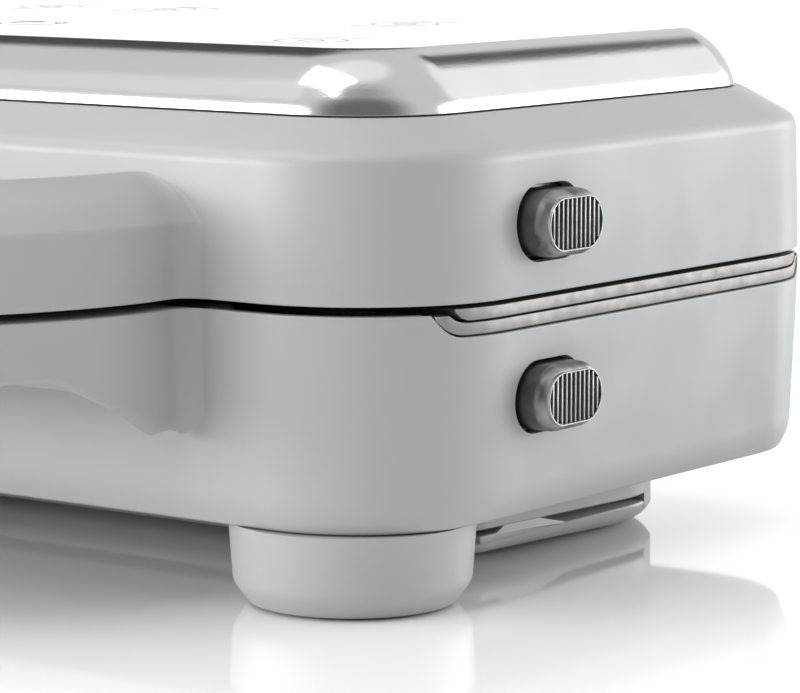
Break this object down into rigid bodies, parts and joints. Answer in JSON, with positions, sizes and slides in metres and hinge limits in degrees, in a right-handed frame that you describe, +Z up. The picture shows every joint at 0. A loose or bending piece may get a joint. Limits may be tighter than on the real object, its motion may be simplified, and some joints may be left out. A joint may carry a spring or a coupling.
{
  "type": "donut maker",
  "caption": "Low rectangular electric donut maker: hinged lid, removable ring plates, side release buttons, split front handle and under-base cord wrap.",
  "frame": {"origin": "middle of the footprint of the whole object, on the table top", "axes": "+X to the appliance's right, the side with the release buttons; +Y to the rear, where the hinge is; +Z up"},
  "size_m": [0.2454, 0.224, 0.1],
  "materials": {
    "casing_plastic": "satin, moulded, very fine grain",
    "cover_steel": "brushed and finely textured, bright",
    "sheet_steel": "plain rolled sheet",
    "screw_steel": "plated",
    "plate_metal": "cast, satin rims, coated cavities",
    "button_metal": "dark metallic, satin, ridged",
    "heater_sheath": "oxidised tube",
    "frame_black": "heat-resistant, matt",
    "rubber_black": "matt",
    "ceramic_white": "unglazed ceramic look",
    "lens_red": "clear tinted",
    "lens_green": "clear tinted"
  },
  "bodies": {
    "base": {"lower_casing": "casing_plastic", "lower_inner_frame": "frame_black", "lower_heat_tray": "sheet_steel", "lower_heating_element": "heater_sheath", "lower_donut_plate": "plate_metal", "lower_plate_hook": "sheet_steel", "lower_button_guide": "sheet_steel", "lower_button_spring": "screw_steel", "lower_thermostat": "ceramic_white", "mains_terminal_block": "ceramic_white", "cord_inlet_bush": "rubber_black", "front_left_foot": "casing_plastic", "front_right_foot": "casing_plastic", "front_left_pad": "rubber_black", "front_right_pad": "rubber_black", "cord_wrap_foot": "casing_plastic", "rear_left_pad": "rubber_black", "rear_right_pad": "rubber_black", "hinge_pin_left": "screw_steel", "hinge_pin_right": "screw_steel", "base_screw_1": "screw_steel", "base_screw_2": "screw_steel", "base_screw_3": "screw_steel", "base_screw_4": "screw_steel"},
    "lid": {"upper_casing": "casing_plastic", "top_cover": "cover_steel", "upper_inner_frame": "frame_black", "upper_heat_tray": "sheet_steel", "upper_heating_element": "heater_sheath", "upper_donut_plate": "plate_metal", "upper_plate_hook": "sheet_steel", "upper_button_guide": "sheet_steel", "upper_button_spring": "screw_steel", "upper_thermostat": "ceramic_white", "thermal_fuse": "ceramic_white", "lens_holder": "frame_black", "power_lens": "lens_red", "ready_lens": "lens_green", "lid_screw_1": "screw_steel", "lid_screw_2": "screw_steel", "lid_screw_3": "screw_steel", "lid_screw_4": "screw_steel"},
    "lower_button": {"lower_release_button": "button_metal"},
    "upper_button": {"upper_release_button": "button_metal"},
    "lock": {"handle_lock_slider": "button_metal"}
  },
  "joints": [
    {"name": "lid_hinge", "type": "hinge", "parent": "base", "child": "lid", "pos_m": [-0.00275, 0.10555, 0.05535], "axis": [-1, 0, 0], "range_deg": [0, 100]},
    {"name": "lower_button_press", "type": "slide", "parent": "base", "child": "lower_button", "axis": [-1, 0, 0], "range_m": [0, 0.0035], "stiffness_N_per_m": 500, "springref_m": -0.004, "deforming": ["lower_button_spring"]},
    {"name": "upper_button_press", "type": "slide", "parent": "lid", "child": "upper_button", "axis": [-1, 0, 0], "range_m": [0, 0.0035], "stiffness_N_per_m": 500, "springref_m": -0.004, "deforming": ["upper_button_spring"]},
    {"name": "lock_slide", "type": "slide", "parent": "lid", "child": "lock", "axis": [1, 0, 0], "range_m": [0, 0.008]}
  ]
}
